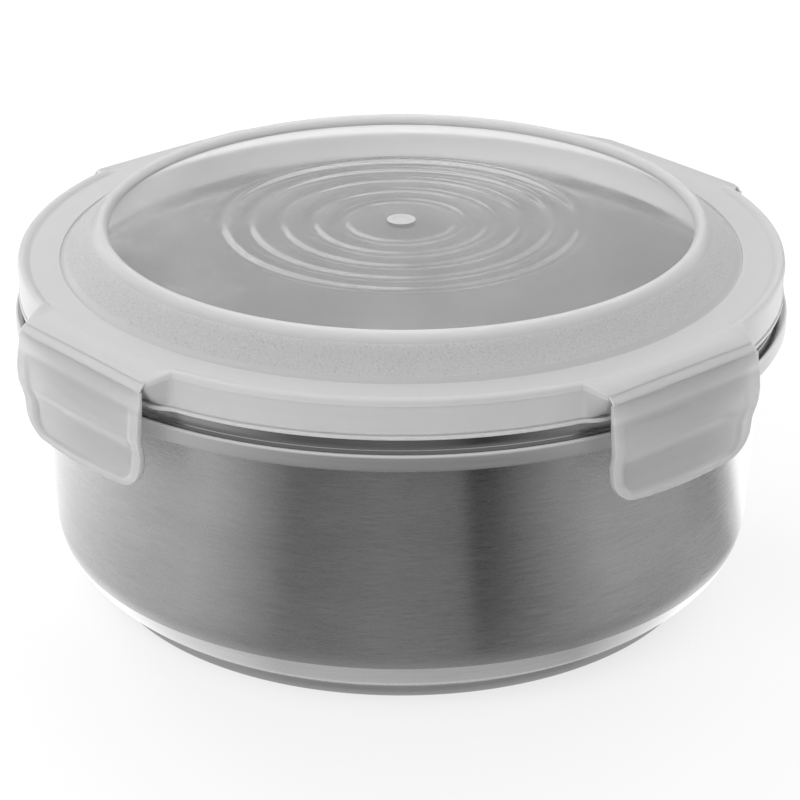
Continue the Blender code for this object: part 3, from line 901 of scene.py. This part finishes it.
def seen_directly(nodes, links):
    """1 for rays from the camera, a reflection or through a clear surface, and 0 for all others."""
    path = nodes.new("ShaderNodeLightPath")
    seen = path.outputs["Is Camera Ray"]
    for kind in ("Is Glossy Ray", "Is Transmission Ray"):
        either = nodes.new("ShaderNodeMath")
        either.operation = "MAXIMUM"
        links.new(seen, either.inputs[0])
        links.new(path.outputs[kind], either.inputs[1])
        seen = either.outputs[0]
    return seen


def make_floor():
    """White floor: most of what is seen of it is plain white, and the rest keeps the shadow."""
    finish, nodes, links = new_material("floor_white")
    paint = nodes["Principled BSDF"]
    set_inputs(paint, Base_Color=grey(0.97), Roughness=0.9, Specular_IOR_Level=0.1)
    white = nodes.new("ShaderNodeEmission")
    share = nodes.new("ShaderNodeMath")
    share.operation = "MULTIPLY"
    share.inputs[1].default_value = FLOOR_WHITE
    links.new(seen_directly(nodes, links), share.inputs[0])
    choose = nodes.new("ShaderNodeMixShader")
    links.new(share.outputs[0], choose.inputs["Fac"])
    links.new(paint.outputs["BSDF"], choose.inputs[1])
    links.new(white.outputs["Emission"], choose.inputs[2])
    links.new(choose.outputs["Shader"], nodes["Material Output"].inputs["Surface"])
    mesh = bmesh.new()
    bmesh.ops.create_grid(mesh, x_segments=1, y_segments=1, size=FLOOR_SIZE / 2)
    result = new_object("floor", mesh, [finish])


def card_finish(name, tones):
    """Glow in grey tones that go round the container, from behind it by the left, the front and the right."""
    finish, nodes, links = new_material(name)
    nodes.remove(nodes["Principled BSDF"])
    glow = nodes.new("ShaderNodeEmission")
    set_inputs(glow, Strength=CARD_LIGHT)
    place = nodes.new("ShaderNodeTexCoord")
    turn = nodes.new("ShaderNodeMapping")
    set_inputs(turn, Rotation=(0.0, 0.0, math.radians(90 - CAMERA_AZIMUTH)))
    gradient = nodes.new("ShaderNodeTexGradient")
    gradient.gradient_type = "RADIAL"
    links.new(place.outputs["Object"], turn.inputs["Vector"])
    links.new(turn.outputs["Vector"], gradient.inputs["Vector"])
    links.new(ramp(nodes, links, gradient.outputs["Fac"], tones), glow.inputs["Color"])
    links.new(glow.outputs["Emission"], nodes["Material Output"].inputs["Surface"])
    return finish


def make_card(name, rings, tones):
    """Card swept round the container, out of shot, that only reflections see."""
    mesh = bmesh.new()
    verts = []
    for reach, rise in rings:
        ring = []
        for angle in even_angles(CARD_STEPS):
            ring.append(mesh.verts.new((reach * math.cos(angle), reach * math.sin(angle), rise)))
        verts.append(ring)
    for low, high in zip(verts, verts[1:]):
        for here in range(CARD_STEPS):
            mesh.faces.new((low[here - 1], low[here], high[here], high[here - 1]))
    card = new_object(name, mesh, [card_finish(name, tones)])
    card.location.z = CARD_LIFT
    card.visible_camera = False
    card.visible_diffuse = False
    card.visible_transmission = False
    card.visible_shadow = False


def make_reflection_cards():
    """Light close round the foot, and light and dark cards that stand round the container."""
    make_card("reflection_foot", ((CARD_START, 0.0), (CARD_NEAR, 0.0)), FOOT_TONES)
    make_card("reflection_near", ((CARD_NEAR, 0.0), (CARD_AROUND, 0.0)), NEAR_TONES)
    around = ((CARD_AROUND, 0.0), (CARD_EDGE, 0.0), (CARD_EDGE, CARD_TOP))
    make_card("reflection_around", around, AROUND_TONES)


def make_lamp(name, azimuth, elevation, power):
    direction = towards(azimuth, elevation)
    data = bpy.data.lights.new(name, "AREA")
    data.shape = "DISK"
    data.size = LAMP_SIZE
    data.energy = power
    lamp = bpy.data.objects.new(name, data)
    lamp.location = direction * LAMP_DISTANCE
    lamp.rotation_euler = direction.to_track_quat("Z", "Y").to_euler()
    lamp.visible_glossy = False
    bpy.context.scene.collection.objects.link(lamp)


def make_world():
    """A white room: it lights the object evenly, and the camera and reflections see it as white."""
    world = bpy.data.worlds.new("room")
    world.use_nodes = True
    nodes = world.node_tree.nodes
    links = world.node_tree.links
    light = nodes["Background"]
    set_inputs(light, Color=grey(1.0), Strength=ROOM_LIGHT)
    white = nodes.new("ShaderNodeBackground")
    set_inputs(white, Color=grey(1.0), Strength=1.0)
    choose = nodes.new("ShaderNodeMixShader")
    links.new(seen_directly(nodes, links), choose.inputs["Fac"])
    links.new(light.outputs["Background"], choose.inputs[1])
    links.new(white.outputs["Background"], choose.inputs[2])
    links.new(choose.outputs["Shader"], nodes["World Output"].inputs["Surface"])
    bpy.context.scene.world = world


def main():
    make_camera()
    make_bowl()
    make_lid()
    make_gasket()
    # The root's tone is painted light, much lighter than the panel's.
    finish = latch_plastic(panel_tone=0.69, painted_light_root_tone=0.96, roughness=0.14, depth=6.0)
    film = milky_plastic("hinge_plastic", tone=0.53, roughness=0.24, depth=1.0)
    for side, direction in LATCH_SIDES.items():
        make_latch(side, direction, finish)
        make_hinge_web(side, direction, film)
    make_floor()
    make_reflection_cards()
    for name, turn, elevation, power in LAMPS:
        make_lamp(name, CAMERA_AZIMUTH + turn, elevation, power)
    make_world()
    bpy.context.scene.view_settings.view_transform = "Standard"


main()
